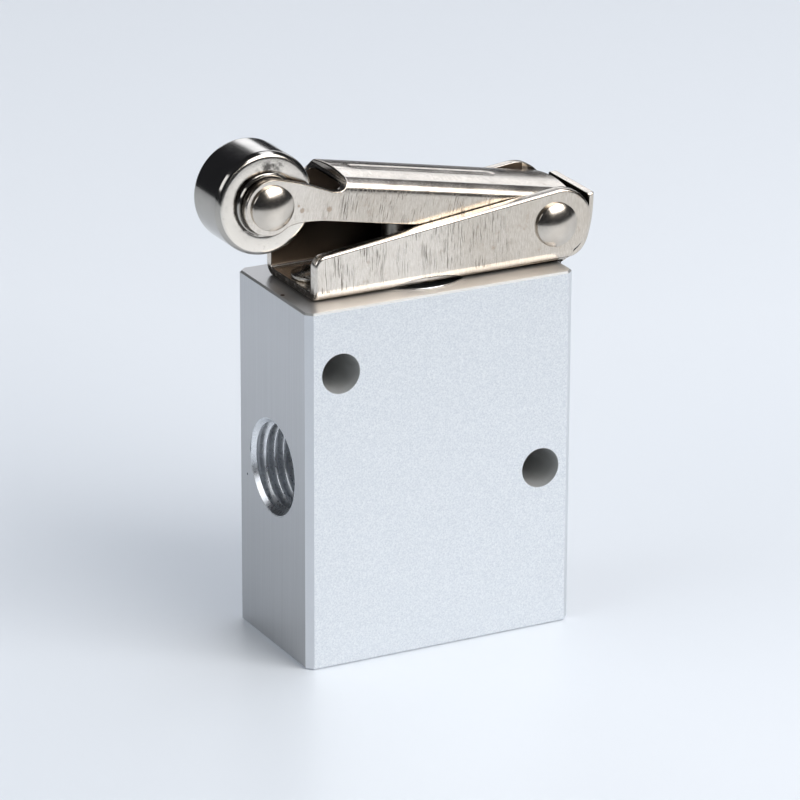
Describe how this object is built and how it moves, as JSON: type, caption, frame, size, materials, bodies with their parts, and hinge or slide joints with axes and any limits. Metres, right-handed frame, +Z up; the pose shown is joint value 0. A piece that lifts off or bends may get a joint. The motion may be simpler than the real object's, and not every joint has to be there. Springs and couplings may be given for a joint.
{
  "type": "roller lever pneumatic valve",
  "caption": "Mechanical air valve: a rectangular aluminium block with a threaded port in each side and through mounting holes, worked by a spring returned roller lever on a bracket.",
  "frame": {"origin": "centre of the block's bottom face, under the plunger's axis", "axes": "+Z up along the plunger, +X from the outlet port's side to the supply port's side, +Y through the block along the mounting holes, from the pictured front to the back"},
  "size_m": [0.0546, 0.021, 0.0705],
  "materials": {
    "anodised_aluminium": "bead blasted and clear anodised; the port sides and the top are milled",
    "plated_steel": "pressed steel, nickel plated, glossy over fine draw marks",
    "roller_steel": "turned and polished rim, satin ends",
    "rivet_steel": "polished domed heads",
    "screw_steel": "zinc plated",
    "plunger_steel": "ground",
    "spring_steel": "drawn wire",
    "brass": "turned",
    "bronze": "sintered, oily",
    "spool_aluminium": "turned",
    "seal_rubber": "moulded"
  },
  "bodies": {
    "housing": {"valve_body": "anodised_aluminium", "plunger_guide": "brass", "guide_seal": "seal_rubber", "valve_sleeve": "brass", "sleeve_seal_lower": "seal_rubber", "sleeve_seal_middle": "seal_rubber", "sleeve_seal_upper": "seal_rubber", "return_spring": "spring_steel", "bracket": "plated_steel", "bracket_screw_left": "screw_steel", "bracket_screw_right": "screw_steel", "pivot_rivet": "rivet_steel"},
    "lever": {"lever": "plated_steel", "roller_rivet": "rivet_steel"},
    "roller": {"roller": "roller_steel", "roller_bush": "bronze"},
    "plunger": {"plunger": "plunger_steel", "spool": "spool_aluminium", "spool_seal_lower": "seal_rubber", "spool_seal_middle": "seal_rubber", "spool_seal_upper": "seal_rubber"}
  },
  "joints": [
    {"name": "lever_hinge", "type": "hinge", "parent": "housing", "child": "lever", "pos_m": [0.01855, 0, 0.05565], "axis": [0, -1, 0], "range_deg": [0, 7], "stiffness_Nm_per_rad": 0.513, "springref_deg": -18.59},
    {"name": "roller_spin", "type": "hinge", "parent": "lever", "child": "roller", "pos_m": [-0.02231, 0, 0.06348], "axis": [0, 1, 0], "continuous": true},
    {"name": "plunger_slide", "type": "slide", "parent": "housing", "child": "plunger", "axis": [0, 0, -1], "range_m": [0, 0.00226], "deforming": ["return_spring"]}
  ],
  "couplings": [
    {"joint": "lever_hinge", "follows": "plunger_slide", "rad_per_m": 54.054}
  ]
}
